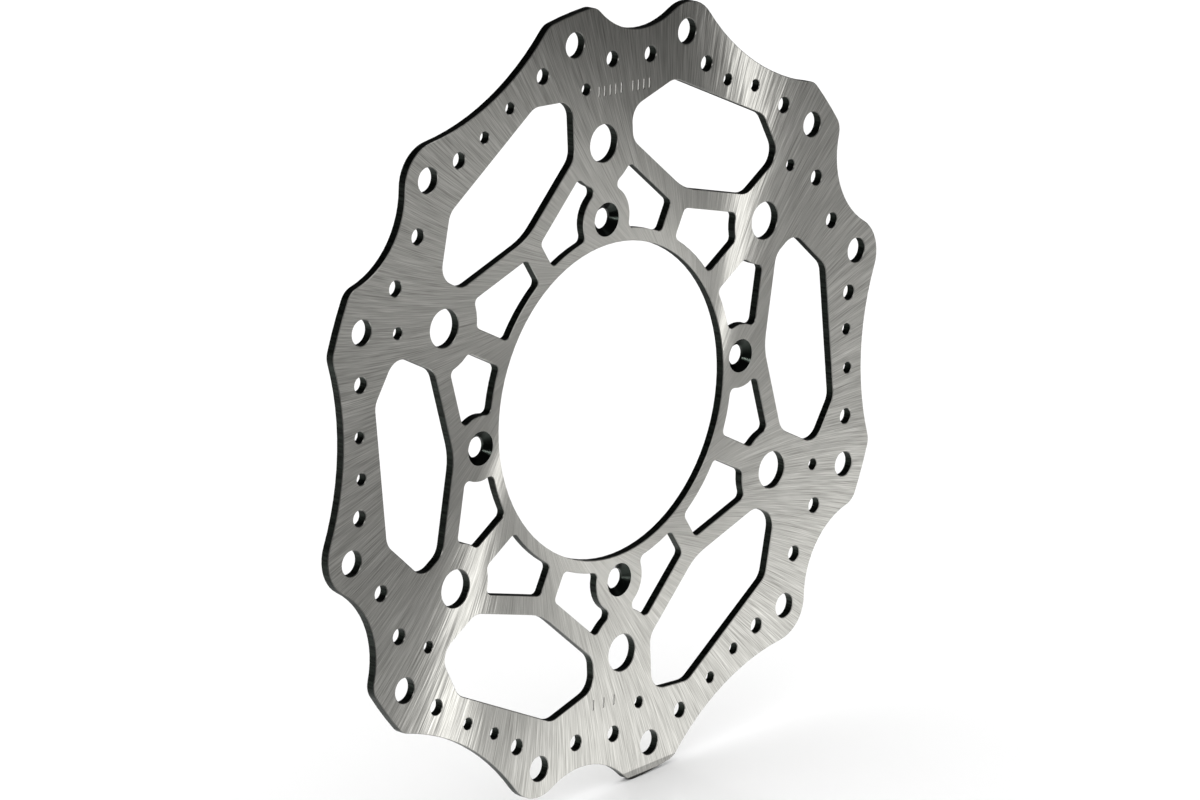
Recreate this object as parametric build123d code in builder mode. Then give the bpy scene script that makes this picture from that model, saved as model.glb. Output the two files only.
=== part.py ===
from build123d import *
import os
from math import acos, cos, degrees, radians, sin

os.makedirs("parts", exist_ok=True)

# A one-piece motorcycle brake disc with a wavy rim, cut from flat stainless plate.
# Millimetres, degrees. The disc stands on edge: its axis is Y, its countersunk outer
# face looks towards -Y, +Z is up, and the origin is the centre of the disc.
# Angles are counted in the outer face's view, from +X towards +Z.

# Plate
disc_r = 125.0
plate_t = 3.0
edge_break = 0.2
bore_r = 50.0
sectors = 6
sector = 360 / sectors

# Rim: in each sector a round petal, a short scallop, a square petal and a long scallop
round_petal_angle = 9.95
round_petal_r = 12.5
short_scallop_r = 27.1
short_scallop_at = 142.6
square_corner_r = 6.0
long_scallop_r = 82.3
long_scallop_at = 197.8

# Hub: ring, bolt ears, pads with a large hole, webs from ring to pad, spokes and struts
ring_r = 54.0
ear_r = 10.3
bolt_circle_r = 58.0
bolt_count = 4
bolt_hole_r = 3.25
countersink_r = 5.3
countersink_angle = 90
pad_circle_r = 82.0
pad_r = 14.0
pad_half_width = 13.0
pad_hole_r = 5.95
web_width = 8.0
spoke_width = 7.0
strut_lean = 13.13
strut_in = 61.4
strut_out = 67.4
hub_corner_r = 2.0

# Windows between pads: sides as (angle of the side's normal, distance from the centre)
window_outer_sides = [(24.87, 96.68), (62.92, 99.55), (105.16, 83.62)]
window_corner_r = 6.0
window_bend_r = 19.0

# Vents in the rubbing band, six of each: (hole radius, distance from the centre, angle)
vents = [
    (4.0, 115.5, 10.6),
    (4.0, 115.5, 35.4),
    (2.5, 109.8, 4.3),
    (2.5, 107.6, 18.3),
    (2.5, 107.5, 27.3),
    (2.5, 111.3, 43.1),
    (1.85, 100.6, 33.9),
    (1.85, 109.2, 51.3),
    (1.85, 108.0, 58.1),
]
# These two, beside one round petal, stand nearer the centre than their fellows
nudged_vent_angles = [58.1, 64.3]
vent_nudge = 2.2

# Plain stamped tally strokes on the outer face: (strokes, pitch, middle of the row)
tally_groups = [
    (5, 2.45, (3.6, 98.0)),
    (4, 2.45, (17.2, 96.8)),
    (3, 4.6, (-9.0, -95.8)),
]
tally_tilt = -5.0
stroke_length = 3.4
stroke_width = 0.7
stroke_depth = 0.2

outer_face = Plane.XZ.offset(plate_t / 2)
centre = (0, 0, 0)


def corner(side_a, side_b):
    """Point where two straight sides meet, each given as (angle of normal, distance)."""
    angle_a, distance_a = radians(side_a[0]), side_a[1]
    angle_b, distance_b = radians(side_b[0]), side_b[1]
    turn = sin(angle_b - angle_a)
    x = (distance_a * sin(angle_b) - distance_b * sin(angle_a)) / turn
    y = (distance_b * cos(angle_a) - distance_a * cos(angle_b)) / turn
    return (x, y)


def polar(radius, angle):
    """Point at a distance and an angle from the centre."""
    return (radius * cos(radians(angle)), radius * sin(radians(angle)))


def between(distance_a, distance_b, reach):
    """Angle seen from the disc's centre between two arc centres that stand reach apart."""
    cosine = (distance_a**2 + distance_b**2 - reach**2) / (2 * distance_a * distance_b)
    return degrees(acos(cosine))


def touch(centre_a, radius_a, centre_b):
    """Point where the arc about centre_a meets the arc that it is tangent to."""
    start = Vector(*centre_a)
    return start + (Vector(*centre_b) - start).normalized() * radius_a


def rim_joints():
    """Points all round the rim where one arc runs into the next."""
    petal_at = disc_r - round_petal_r
    corner_at = disc_r - square_corner_r
    to_short = between(petal_at, short_scallop_at, round_petal_r + short_scallop_r)
    to_long = between(petal_at, long_scallop_at, round_petal_r + long_scallop_r)
    short_to_corner = between(corner_at, short_scallop_at, square_corner_r + short_scallop_r)
    corner_to_long = between(corner_at, long_scallop_at, square_corner_r + long_scallop_r)
    joints = []
    for k in range(sectors):
        petal = round_petal_angle + k * sector
        short = petal + to_short
        first = short + short_to_corner
        last = petal - to_long + sector - corner_to_long
        before = polar(long_scallop_at, petal - to_long)
        after = polar(long_scallop_at, petal - to_long + sector)
        joints.append(touch(before, long_scallop_r, polar(petal_at, petal)))
        joints.append(touch(polar(petal_at, petal), round_petal_r, polar(short_scallop_at, short)))
        joints.append(touch(polar(short_scallop_at, short), short_scallop_r, polar(corner_at, first)))
        joints.append(Vector(*polar(disc_r, first)))
        joints.append(Vector(*polar(disc_r, last)))
        joints.append(touch(after, long_scallop_r, polar(corner_at, last)))
    return joints


def window_corners():
    """Corners of the window centred near 60 degrees, between two pads."""
    first_pad = (120, pad_half_width)
    last_pad = (0, pad_half_width)
    struts = [(sector - strut_lean, strut_out), (sector + strut_lean, strut_out)]
    sides = [first_pad, *window_outer_sides, last_pad, *struts]
    return [corner(sides[i - 1], sides[i]) for i in range(len(sides))]


def star_corners():
    """Corners of the six-pointed star that the struts' inner edges draw."""
    points = []
    for k in range(sectors):
        points.append(polar(strut_in / cos(radians(strut_lean)), k * sector))
        points.append(polar(strut_in / cos(radians(sector / 2 + strut_lean)), (k + 0.5) * sector))
    return points


def vent_places(distance, first_angle):
    """Centres of the six vents of one kind."""
    places = []
    for k in range(sectors):
        angle = round(first_angle + k * sector, 1)
        inward = vent_nudge if angle in nudged_vent_angles else 0
        places.append(polar(distance - inward, angle))
    return places


bolt_angles = [k * 360 / bolt_count for k in range(bolt_count)]
web_angles = [(k + 0.5) * sector for k in range(sectors)]
spoke_angles = [k * sector for k in range(sectors)]

with BuildPart() as brake_disc:
    # Blank with its wavy rim
    with BuildSketch(Plane.XZ) as blank:
        joints = rim_joints()
        with BuildLine():
            arc = ThreePointArc(joints[0], polar(disc_r, round_petal_angle), joints[1])
            for joint in joints[2:] + joints[:1]:
                arc = TangentArc(arc @ 1, joint, tangent=arc % 1)
        make_face()
        Circle(bore_r, mode=Mode.SUBTRACT)
    extrude(amount=plate_t / 2, both=True)

    # Large windows between the pads
    with BuildSketch(Plane.XZ) as large_windows:
        with PolarLocations(0, sectors):
            Polygon(*window_corners(), align=None)
        fillet(large_windows.vertices().sort_by_distance(centre)[sectors:], window_corner_r)
        fillet(large_windows.vertices().sort_by_distance(centre)[:sectors], window_bend_r)
    extrude(amount=plate_t, both=True, mode=Mode.SUBTRACT)

    # Small windows between the ring and the struts
    with BuildSketch(Plane.XZ) as small_windows:
        Polygon(*star_corners(), align=None)
        Circle(ring_r, mode=Mode.SUBTRACT)
        with PolarLocations(pad_circle_r, sectors, start_angle=sector / 2):
            Circle(pad_r, mode=Mode.SUBTRACT)
        with PolarLocations(bolt_circle_r, bolt_count):
            Circle(ear_r, mode=Mode.SUBTRACT)
        for angle in web_angles + spoke_angles:
            if angle not in bolt_angles:
                width = web_width if angle in web_angles else spoke_width
                with PolarLocations(pad_circle_r / 2, 1, start_angle=angle):
                    Rectangle(pad_circle_r, width, mode=Mode.SUBTRACT)
        fillet(small_windows.vertices(), hub_corner_r)
    extrude(amount=plate_t, both=True, mode=Mode.SUBTRACT)

    # Pad holes and vents
    with Locations(outer_face):
        with PolarLocations(pad_circle_r, sectors, start_angle=sector / 2):
            Hole(pad_hole_r)
        for radius, distance, angle in vents:
            with Locations(*vent_places(distance, angle)):
                Hole(radius)

    # Broken edges on both faces
    flats = brake_disc.faces().filter_by(Axis.Y)
    chamfer(flats.edges(), edge_break)

    # Countersunk bolt holes
    with Locations(outer_face):
        with PolarLocations(bolt_circle_r, bolt_count):
            CounterSinkHole(bolt_hole_r, countersink_r, counter_sink_angle=countersink_angle)

    # Stamped tally strokes
    with BuildSketch(outer_face) as strokes:
        for count, pitch, place in tally_groups:
            with Locations(Location(place, tally_tilt)):
                with GridLocations(pitch, 0, count, 1):
                    SlotOverall(stroke_length, stroke_width, rotation=90)
    extrude(amount=-stroke_depth, mode=Mode.SUBTRACT)

brake_disc.part.label = "brake_disc"
export_step(brake_disc.part, "parts/brake_disc.step")
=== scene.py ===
import math

import bpy
from mathutils import Euler, Matrix, Vector


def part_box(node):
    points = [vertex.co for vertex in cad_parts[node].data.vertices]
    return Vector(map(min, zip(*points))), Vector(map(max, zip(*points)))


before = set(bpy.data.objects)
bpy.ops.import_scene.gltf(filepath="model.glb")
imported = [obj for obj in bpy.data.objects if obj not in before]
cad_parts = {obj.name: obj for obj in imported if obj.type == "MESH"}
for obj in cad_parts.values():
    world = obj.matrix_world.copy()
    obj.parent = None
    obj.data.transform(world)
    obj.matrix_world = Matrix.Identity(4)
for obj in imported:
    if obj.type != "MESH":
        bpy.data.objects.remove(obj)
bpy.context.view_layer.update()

bl_info = {
    "name": "Wave brake disc",
    "version": (1, 0, 0),
    "blender": (4, 5, 0),
    "location": "View3D > Sidebar > Brake disc",
    "description": "Finishes the packed brake disc in rotary-ground stainless steel and lights it",
    "category": "Object",
}

MM = 0.001
DISC = "brake_disc"
DISC_LOW, DISC_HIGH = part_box(DISC)
DISC_RADIUS = (DISC_HIGH[2] - DISC_LOW[2]) / 2
PLATE = DISC_HIGH[1] - DISC_LOW[1]

# The rim of the grinding wheel sweeps over the disc in long arcs of this radius, each about a
# point this far from the disc's axis
GRIND_ARC_RADIUS = 300 * MM
GRIND_ARC_CENTRE = 341.4 * MM

# As the CAD model has them: how far the four bolt holes are from the axis, how far the strokes
# go in, and a reach round a bolt hole that is just wider than its countersink
BOLT_CIRCLE_RADIUS = 58 * MM
STROKE_DEPTH = 0.2 * MM
SEAT_REACH = 5.6 * MM

# How far a surface's normal leans along the disc's axis: more is a flat face, less is a cut wall
FACE_LEAN = 0.9
WALL_LEAN = 0.6

# The noise runs from 0 to 1, but nearly all of it lies between these
NOISE_LOW = 0.25
NOISE_HIGH = 0.75

# How far each kind of streak runs along a grinding line, and how much of the noise is fine grain
WIDE_LENGTH = 45 * MM
FINE_LENGTH = 14 * MM
STRAY_LENGTH = 20 * MM
STREAK_GRAIN = 0.6

# Blur of the small surfaces: broken edges, stamped strokes, cut walls, and bolt seats
CHAMFER_BLUR = 0.65
STROKE_BLUR = 0.6
WALL_BLUR = 0.4
SEAT_BLUR = 0.22

# The distant lights: bearing to the left of a face's axis, height above level, and width
KEY_BEARING = math.radians(24.9)
KEY_HEIGHT = math.radians(15.6)
KEY_SIZE = 0.2
FILL_BEARING = math.radians(-9.1)
FILL_HEIGHT = math.radians(-17.2)
FILL_SIZE = 0.3

# The bench before each face, as patches: its middle to the right of and out from the disc, its
# size, and its power as a share of the bench's. Each lies a little above the one before.
BENCH_PATCHES = (
    ("bench", (0.4, 0.25), (1.0, 0.5), 1.0),
    ("bench_right", (0.425, 0.23), (0.45, 0.26), 0.43),
    ("bench_near", (0.025, 0.04), (0.35, 0.08), 0.05),
)
BENCH_STEP = 1 * MM


def linear(code):
    """A hex sRGB colour as the linear RGBA that Blender's sockets take."""
    channels = [int(code[i : i + 2], 16) / 255 for i in (1, 3, 5)]
    return [c / 12.92 if c <= 0.04045 else ((c + 0.055) / 1.055) ** 2.4 for c in channels] + [1.0]


def add_node(tree, kind, settings=None, **links):
    """Add one node, set its properties, and feed its inputs with values, sockets or nodes.

    An input is named by its label, or by s and its number. A node stands for its first output.
    """
    node = tree.nodes.new(kind)
    for name, value in (settings or {}).items():
        setattr(node, name, value)
    for name, value in links.items():
        socket = node.inputs[int(name[1:]) if name[1:].isdigit() else name.replace("_", " ")]
        if isinstance(value, bpy.types.Node):
            value = value.outputs[0]
        if isinstance(value, bpy.types.NodeSocket):
            tree.links.new(value, socket)
        else:
            socket.default_value = value
    return node


def grinding_lines(tree, x, z):
    """A direction that names each grinding line, the radius, and the ways along and across a line.

    Every line is an arc about a point GRIND_ARC_CENTRE from the axis. The direction to that
    point is found from the triangle of axis, point and surface, and stays the same all along
    one line.
    """
    xx = add_node(tree, "ShaderNodeMath", {"operation": "MULTIPLY"}, s0=x, s1=x)
    squared = add_node(tree, "ShaderNodeMath", {"operation": "MULTIPLY_ADD"}, s0=z, s1=z, s2=xx)
    radius = add_node(tree, "ShaderNodeMath", {"operation": "SQRT"}, s0=squared)
    bearing = add_node(tree, "ShaderNodeMath", {"operation": "ARCTAN2"}, s0=z, s1=x)
    gap = GRIND_ARC_CENTRE**2 - GRIND_ARC_RADIUS**2
    top = add_node(tree, "ShaderNodeMath", {"operation": "ADD"}, s0=squared, s1=gap)
    base = add_node(
        tree, "ShaderNodeMath", {"operation": "MULTIPLY"}, s0=radius, s1=2 * GRIND_ARC_CENTRE
    )
    ratio = add_node(tree, "ShaderNodeMath", {"operation": "DIVIDE"}, s0=top, s1=base)
    swing = add_node(tree, "ShaderNodeMath", {"operation": "ARCCOSINE"}, s0=ratio)
    turn = add_node(tree, "ShaderNodeMath", {"operation": "SUBTRACT"}, s0=bearing, s1=swing)
    cosine = add_node(tree, "ShaderNodeMath", {"operation": "COSINE"}, s0=turn)
    sine = add_node(tree, "ShaderNodeMath", {"operation": "SINE"}, s0=turn)
    line = add_node(tree, "ShaderNodeCombineXYZ", s0=cosine, s1=0.0, s2=sine)
    centre = add_node(
        tree, "ShaderNodeVectorMath", {"operation": "SCALE"}, s0=line, s3=GRIND_ARC_CENTRE
    )
    flat = add_node(tree, "ShaderNodeCombineXYZ", s0=x, s1=0.0, s2=z)
    away = add_node(tree, "ShaderNodeVectorMath", {"operation": "SUBTRACT"}, s0=centre, s1=flat)
    across = add_node(tree, "ShaderNodeVectorMath", {"operation": "NORMALIZE"}, s0=away)
    along = add_node(
        tree, "ShaderNodeVectorMath", {"operation": "CROSS_PRODUCT"}, s0=across, s1=(0, 1, 0)
    )
    return line, radius, along, across


def streaks(tree, line, radius, width, length, detail):
    """Noise drawn out along the grinding lines, of one width at the rim and one length."""
    spread = add_node(
        tree, "ShaderNodeVectorMath", {"operation": "SCALE"}, s0=line, s3=DISC_RADIUS / width
    )
    travel = add_node(tree, "ShaderNodeMath", {"operation": "DIVIDE"}, s0=radius, s1=length)
    lift = add_node(tree, "ShaderNodeCombineXYZ", s0=0.0, s1=travel, s2=0.0)
    place = add_node(tree, "ShaderNodeVectorMath", {"operation": "ADD"}, s0=spread, s1=lift)
    return add_node(
        tree, "ShaderNodeTexNoise", Vector=place, Scale=1.0, Detail=detail, Roughness=STREAK_GRAIN
    )


def flat_and_cut(tree, y):
    """1 or 0 for each surface: ground face, cut wall, and the floor of a stamped stroke."""
    normal = add_node(tree, "ShaderNodeTexCoord").outputs["Normal"]
    parts = add_node(tree, "ShaderNodeSeparateXYZ", s0=normal)
    lean = add_node(tree, "ShaderNodeMath", {"operation": "ABSOLUTE"}, s0=parts.outputs["Y"])
    face = add_node(tree, "ShaderNodeMath", {"operation": "GREATER_THAN"}, s0=lean, s1=FACE_LEAN)
    wall = add_node(tree, "ShaderNodeMath", {"operation": "LESS_THAN"}, s0=lean, s1=WALL_LEAN)
    height = add_node(tree, "ShaderNodeMath", {"operation": "ABSOLUTE"}, s0=y)
    sunk = add_node(
        tree, "ShaderNodeMath", {"operation": "LESS_THAN"}, s0=height,
        s1=(PLATE - STROKE_DEPTH) / 2,
    )
    stroke = add_node(tree, "ShaderNodeMath", {"operation": "MULTIPLY"}, s0=face, s1=sunk)
    return face, wall, stroke


def bolt_seats(tree, x, z, face):
    """1 on the countersinks of the four bolt holes, which lie on the X and Z axes."""
    x_size = add_node(tree, "ShaderNodeMath", {"operation": "ABSOLUTE"}, s0=x)
    z_size = add_node(tree, "ShaderNodeMath", {"operation": "ABSOLUTE"}, s0=z)
    sideways = add_node(tree, "ShaderNodeMath", {"operation": "MINIMUM"}, s0=x_size, s1=z_size)
    outwards = add_node(tree, "ShaderNodeMath", {"operation": "MAXIMUM"}, s0=x_size, s1=z_size)
    beyond = add_node(
        tree, "ShaderNodeMath", {"operation": "SUBTRACT"}, s0=outwards,
        s1=BOLT_CIRCLE_RADIUS,
    )
    offset = add_node(tree, "ShaderNodeMath", {"operation": "ABSOLUTE"}, s0=beyond)
    reach = add_node(tree, "ShaderNodeMath", {"operation": "MAXIMUM"}, s0=sideways, s1=offset)
    near = add_node(tree, "ShaderNodeMath", {"operation": "LESS_THAN"}, s0=reach, s1=SEAT_REACH)
    return add_node(tree, "ShaderNodeMath", {"operation": "GREATER_THAN"}, s0=near, s1=face)


def ground_steel(finish):
    """Rotary-ground stainless steel plate, with a dark painted reflection on its cut walls and bolt
    seats.

    The wheel leaves fine arcs that run nearly radially. The shine spreads across them, so it
    shows as two bright rays broken into streaks.
    """
    material = bpy.data.materials.new("rotary_ground_stainless_steel")
    material.use_nodes = True
    tree = material.node_tree
    tree.nodes.clear()
    place = add_node(tree, "ShaderNodeTexCoord").outputs["Object"]
    parts = add_node(tree, "ShaderNodeSeparateXYZ", s0=place)
    x, y, z = parts.outputs["X"], parts.outputs["Y"], parts.outputs["Z"]
    face, wall, stroke = flat_and_cut(tree, y)
    shaded_seat = bolt_seats(tree, x, z, face)
    line, radius, along, across = grinding_lines(tree, x, z)

    # Real scratches are 0.05 to 0.1 mm wide. They are too fine to show, so the finest streaks
    # are drawn several times as wide.
    wide = streaks(tree, line, radius, finish.wide_streak, WIDE_LENGTH, 2.0)
    fine = streaks(tree, line, radius, finish.fine_streak, FINE_LENGTH, 2.0)
    stray = streaks(tree, line, radius, 2 * finish.fine_streak, STRAY_LENGTH, 3.0)
    relief = add_node(tree, "ShaderNodeMath", {"operation": "ADD"}, s0=wide, s1=fine)
    bump = add_node(
        tree, "ShaderNodeBump", Strength=finish.scratch_strength, Distance=finish.scratch_depth,
        Height=relief,
    )

    # Single lines stray from their neighbours, which breaks the rays up
    turn = add_node(
        tree, "ShaderNodeMapRange", {"clamp": False}, Value=stray, s1=NOISE_LOW, s2=NOISE_HIGH,
        s3=-finish.stray_angle, s4=finish.stray_angle,
    )
    sideways = add_node(tree, "ShaderNodeVectorMath", {"operation": "SCALE"}, s0=along, s3=turn)
    tangent = add_node(tree, "ShaderNodeVectorMath", {"operation": "ADD"}, s0=across, s1=sideways)

    tone = add_node(
        tree, "ShaderNodeMapRange", Value=fine, s1=NOISE_LOW, s2=NOISE_HIGH, s3=0.0, s4=1.0
    )
    steel = add_node(
        tree, "ShaderNodeMix", {"data_type": "RGBA"}, s0=tone,
        s6=finish.steel_dark, s7=finish.steel_pale,
    ).outputs[2]
    blur = add_node(
        tree, "ShaderNodeMapRange", Value=wide, s1=NOISE_LOW, s2=NOISE_HIGH,
        s3=finish.roughness - finish.roughness_change,
        s4=finish.roughness + finish.roughness_change,
    )

    # A laser leaves fine ridges that run straight through the plate. Real ones are about 0.2 mm
    # apart, and they are drawn coarser to show.
    outline = add_node(tree, "ShaderNodeCombineXYZ", s0=x, s1=z, s2=0.0)
    ridges = add_node(
        tree, "ShaderNodeTexNoise", {"noise_dimensions": "2D"}, Vector=outline,
        Scale=1 / finish.ridge, Detail=2.0,
    )
    ridge_tone = add_node(
        tree, "ShaderNodeMapRange", Value=ridges, s1=NOISE_LOW, s2=NOISE_HIGH, s3=0.0, s4=1.0
    )
    # Painted shade: the walls' near-black, faintly green colour stands in for a dark, greenish
    # surround that bare steel walls would mirror. The ridges only vary it at random.
    ridged_wall_shade = add_node(
        tree, "ShaderNodeMix", {"data_type": "RGBA"}, s0=ridge_tone,
        s6=finish.wall_shade_dark, s7=finish.wall_shade_pale,
    ).outputs[2]

    # The chamfers come first, and each surface of its own is laid over them
    colour, roughness = finish.chamfer, CHAMFER_BLUR
    for mask, own_colour, own_roughness in (
        (face, steel, blur),
        (stroke, finish.stroke, STROKE_BLUR),
        # The cut walls and the bolt seats get painted shade: near-black colours that stand in for a
        # dark reflection.
        (wall, ridged_wall_shade, WALL_BLUR),
        (shaded_seat, finish.shaded_seat, SEAT_BLUR),
    ):
        colour = add_node(
            tree, "ShaderNodeMix", {"data_type": "RGBA"}, s0=mask, s6=colour, s7=own_colour
        ).outputs[2]
        roughness = add_node(tree, "ShaderNodeMix", s0=mask, s2=roughness, s3=own_roughness)

    # The crushed floor of a stroke scatters light as a matt surface does, so it isn't a mirror
    metal = add_node(tree, "ShaderNodeMath", {"operation": "SUBTRACT"}, s0=1.0, s1=stroke)
    surface = add_node(
        tree, "ShaderNodeBsdfPrincipled", Base_Color=colour, Metallic=metal,
        Roughness=roughness, Anisotropic=1.0, Tangent=tangent, Normal=bump,
    )
    add_node(tree, "ShaderNodeOutputMaterial", Surface=surface)
    return material


class DiscFinish(bpy.types.PropertyGroup):
    steel_dark: bpy.props.FloatVectorProperty(
        name="Steel, dark streaks", description="Colour of the darkest grinding streaks",
        subtype="COLOR", size=4, default=linear("#868580"),
    )
    steel_pale: bpy.props.FloatVectorProperty(
        name="Steel, pale streaks", description="Colour of the palest grinding streaks",
        subtype="COLOR", size=4, default=linear("#d0cfca"),
    )
    chamfer: bpy.props.FloatVectorProperty(
        name="Chamfers", description="Colour of the broken edges",
        subtype="COLOR", size=4, default=linear("#a09f9b"),
    )
    # The cut walls' two colours are painted shade. They are near black with a faint green tint, which
    # is a painted reflection, and the laser ridges vary between them at random.
    wall_shade_dark: bpy.props.FloatVectorProperty(
        name="Scale, dark ridges", description="Darkest heat-treatment scale on the cut walls",
        subtype="COLOR", size=4, default=linear("#070907"),
    )
    wall_shade_pale: bpy.props.FloatVectorProperty(
        name="Scale, pale ridges", description="Palest heat-treatment scale on the cut walls",
        subtype="COLOR", size=4, default=linear("#2c322d"),
    )
    # The bolt seats' near-black colour is painted shade, a painted dark reflection. Their glint comes
    # from the key lamp through the low blur.
    shaded_seat: bpy.props.FloatVectorProperty(
        name="Bolt seats", description="Colour of the countersinks of the bolt holes",
        subtype="COLOR", size=4, default=linear("#262a27"),
    )
    stroke: bpy.props.FloatVectorProperty(
        name="Strokes", description="Colour of the floors of the stamped strokes",
        subtype="COLOR", size=4, default=linear("#c4c3be"),
    )
    roughness: bpy.props.FloatProperty(
        name="Roughness", description="Blur of the ground faces", subtype="FACTOR", default=0.425
    )
    roughness_change: bpy.props.FloatProperty(
        name="Roughness change", description="How much the blur differs from streak to streak",
        subtype="FACTOR", default=0.04,
    )
    wide_streak: bpy.props.FloatProperty(
        name="Wide streaks", description="Width of the broad grinding streaks at the rim",
        unit="LENGTH", precision=5, default=1.6 * MM,
    )
    fine_streak: bpy.props.FloatProperty(
        name="Fine streaks", description="Width of the finest grinding streaks at the rim",
        unit="LENGTH", precision=5, default=0.3 * MM,
    )
    ridge: bpy.props.FloatProperty(
        name="Ridges", description="Spacing of the laser's ridges on the cut walls",
        unit="LENGTH", precision=5, default=0.7 * MM,
    )
    scratch_strength: bpy.props.FloatProperty(
        name="Scratch strength", description="How strongly the streaks bend the light",
        subtype="FACTOR", default=0.5,
    )
    scratch_depth: bpy.props.FloatProperty(
        name="Scratch depth", description="Height of the grinding streaks",
        unit="LENGTH", precision=6, default=0.04 * MM,
    )
    stray_angle: bpy.props.FloatProperty(
        name="Stray angle", description="How far single grinding lines stray from their neighbours",
        subtype="ANGLE", default=math.radians(8),
    )


class StageSettings(bpy.types.PropertyGroup):
    floor_size: bpy.props.FloatProperty(
        name="Floor size", description="Width of the pale floor", unit="LENGTH", default=40.0
    )
    floor_colour: bpy.props.FloatVectorProperty(
        name="Floor", description="Colour of the paper on the floor",
        subtype="COLOR", size=4, default=linear("#f4f4f4"),
    )
    surround: bpy.props.FloatProperty(
        name="Surround", description="Brightness of the white around the disc", default=1.2
    )
    room: bpy.props.FloatProperty(
        name="Room", description="Brightness of the dim room that the steel mirrors", default=0.08
    )
    light_distance: bpy.props.FloatProperty(
        name="Light distance", description="From the disc to the distant lights",
        unit="LENGTH", default=6.0,
    )
    key_power: bpy.props.FloatProperty(
        name="Key power", description="Power of the key light, in watts", default=185.0
    )
    fill_power: bpy.props.FloatProperty(
        name="Fill power", description="Power of the low fill light, in watts", default=2.5
    )
    bench_power: bpy.props.FloatProperty(
        name="Bench power", description="Light that the pale bench throws up, in watts", default=1.5
    )
    camera_place: bpy.props.FloatVectorProperty(
        name="Camera place", description="Left of the outer face, and a little above the disc",
        subtype="TRANSLATION", unit="LENGTH", default=(-1.3754, -1.3279, 0.6163),
    )
    camera_turn: bpy.props.FloatVectorProperty(
        name="Camera turn", description="Tilt, roll and turn of the camera",
        subtype="EULER", unit="ROTATION", default=[math.radians(a) for a in (72.128, 1.939, -46.544)],
    )
    lens: bpy.props.FloatProperty(
        name="Lens", description="Focal length of the camera in millimetres", default=196.6
    )


class DISC_OT_finish(bpy.types.Operator):
    """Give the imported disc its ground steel"""

    bl_idname = "disc.finish"
    bl_label = "Finish the disc"

    def execute(self, context):
        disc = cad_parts[DISC]
        steel = ground_steel(context.scene.disc_finish)
        for slot in disc.material_slots:
            slot.material = steel
        return {"FINISHED"}


def pale_floor(size, colour):
    """A plain white floor that the disc stands on."""
    bpy.ops.mesh.primitive_plane_add(size=size)
    floor = bpy.context.object
    floor.name = "pale_floor"
    floor.data.transform(Matrix.Translation((0, 0, DISC_LOW[2])))
    paper = bpy.data.materials.new("matt_white_paper")
    paper.use_nodes = True
    shader = paper.node_tree.nodes["Principled BSDF"]
    shader.inputs["Base Color"].default_value = colour
    shader.inputs["Roughness"].default_value = 0.9
    floor.data.materials.append(paper)
    floor.visible_glossy = False
    floor.visible_shadow = False


def studio_world(surround, room):
    """White around the disc for the eye and the floor, and a dim room for the steel to mirror."""
    world = bpy.data.worlds.new("studio")
    bpy.context.scene.world = world
    world.use_nodes = True
    tree = world.node_tree
    tree.nodes.clear()
    ray = add_node(tree, "ShaderNodeLightPath")
    white = add_node(tree, "ShaderNodeBackground", Color=linear("#ffffff"), Strength=surround)
    dim = add_node(tree, "ShaderNodeBackground", Color=linear("#ffffff"), Strength=room)
    both = add_node(
        tree, "ShaderNodeMixShader", s0=ray.outputs["Is Glossy Ray"], s1=white, s2=dim
    )
    add_node(tree, "ShaderNodeOutputWorld", Surface=both)


def add_area_light(name, place, target, size, power):
    """A soft rectangular light that faces a target, and that only the steel sees."""
    data = bpy.data.lights.new(name, "AREA")
    data.shape = "RECTANGLE"
    data.size, data.size_y = size
    data.energy = power
    lamp = bpy.data.objects.new(name, data)
    bpy.context.scene.collection.objects.link(lamp)
    aim = (target - place).to_track_quat("-Z", "Y")
    lamp.matrix_world = Matrix.Translation(place) @ aim.to_matrix().to_4x4()
    lamp.visible_camera = False
    lamp.visible_diffuse = False


def distant_light(name, distance, bearing, height, size, power):
    """A square light far off, aimed at the middle of the disc."""
    across = distance * math.cos(height)
    place = Vector(
        (-across * math.sin(bearing), -across * math.cos(bearing), distance * math.sin(height))
    )
    add_area_light(name, place, Vector(), (size, size), power)


def bench_light(name, middle, turn, size, lift, power):
    """One patch of the pale bench before a face, which throws its light straight up."""
    place = Vector((middle[0], -middle[1], DISC_LOW[2] + lift))
    place.rotate(Euler((0, 0, turn)))
    add_area_light(name, place, place + Vector((0, 0, 1)), size, power)


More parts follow.
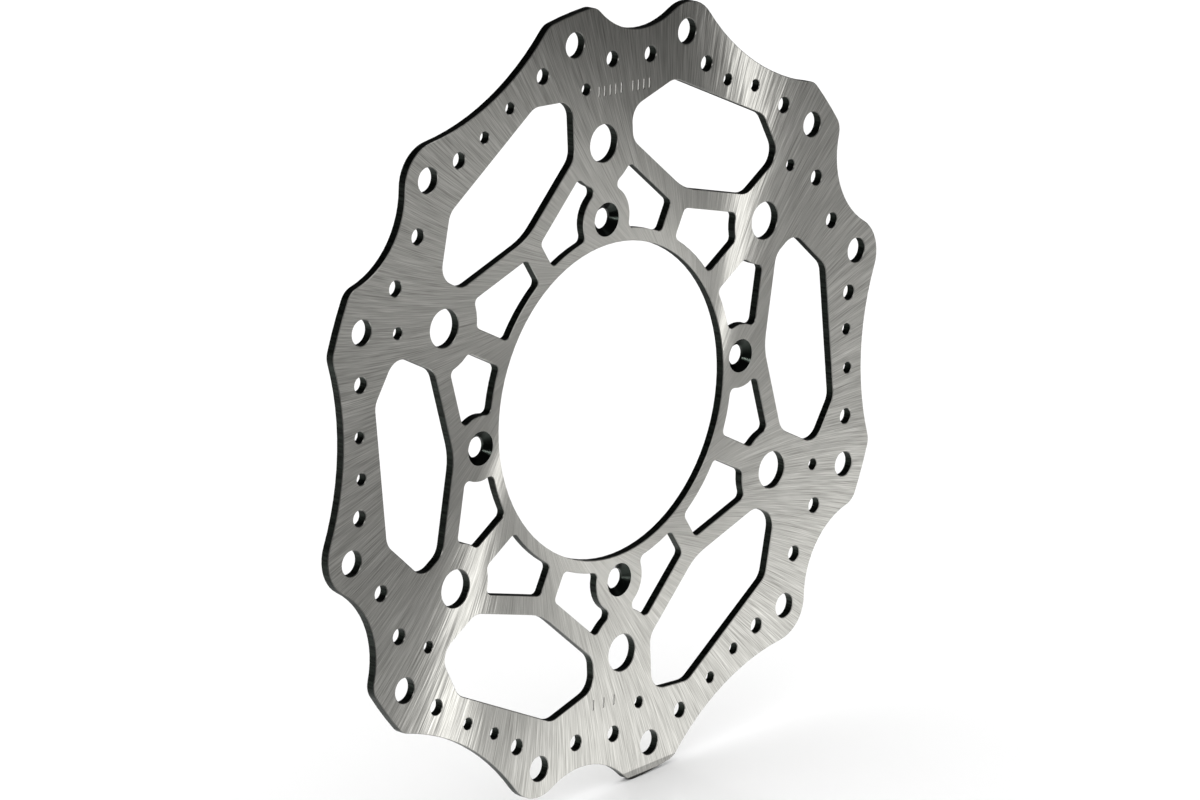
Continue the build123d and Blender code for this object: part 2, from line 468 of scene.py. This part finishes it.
def light_face(side, turn, settings):
    """Light one face: a distant key, a weak low fill, and the bench, brightest near the disc.

    turn is the angle about Z from the outer face to the one that is lit.
    """
    distance = settings.light_distance
    distant_light(
        side + "_key", distance, KEY_BEARING + turn, KEY_HEIGHT, KEY_SIZE, settings.key_power
    )
    distant_light(
        side + "_low_fill", distance, FILL_BEARING + turn, FILL_HEIGHT, FILL_SIZE,
        settings.fill_power,
    )
    for step, (name, middle, size, share) in enumerate(BENCH_PATCHES, start=1):
        bench_light(
            side + "_" + name, middle, turn, size, step * BENCH_STEP, share * settings.bench_power
        )


def studio_camera(place, turn, lens):
    """Long lens at the left of the outer face, looking a little down."""
    data = bpy.data.cameras.new("camera")
    data.lens = lens
    data.sensor_width = 36
    data.clip_end = 100
    camera = bpy.data.objects.new("camera", data)
    bpy.context.scene.collection.objects.link(camera)
    camera.location = place
    camera.rotation_euler = turn
    bpy.context.scene.camera = camera


class DISC_OT_stage(bpy.types.Operator):
    """Set the pale floor, the soft light and the camera"""

    bl_idname = "disc.stage"
    bl_label = "Set the stage"

    def execute(self, context):
        settings = context.scene.disc_stage
        pale_floor(settings.floor_size, settings.floor_colour)
        studio_world(settings.surround, settings.room)
        light_face("outer", 0, settings)
        light_face("hub", math.pi, settings)
        studio_camera(settings.camera_place, settings.camera_turn, settings.lens)
        context.scene.view_settings.view_transform = "Standard"
        return {"FINISHED"}


class DISC_PT_panel(bpy.types.Panel):
    bl_label = "Brake disc"
    bl_idname = "DISC_PT_panel"
    bl_space_type = "VIEW_3D"
    bl_region_type = "UI"
    bl_category = "Brake disc"

    def draw(self, context):
        for operator in (DISC_OT_finish, DISC_OT_stage):
            self.layout.operator(operator.bl_idname)


CLASSES = (DiscFinish, StageSettings, DISC_OT_finish, DISC_OT_stage, DISC_PT_panel)


def register():
    for cls in CLASSES:
        bpy.utils.register_class(cls)
    bpy.types.Scene.disc_finish = bpy.props.PointerProperty(type=DiscFinish)
    bpy.types.Scene.disc_stage = bpy.props.PointerProperty(type=StageSettings)


def unregister():
    del bpy.types.Scene.disc_stage
    del bpy.types.Scene.disc_finish
    for cls in reversed(CLASSES):
        bpy.utils.unregister_class(cls)


def main():
    register()
    bpy.ops.disc.finish()
    bpy.ops.disc.stage()


if __name__ == "__main__":
    main()
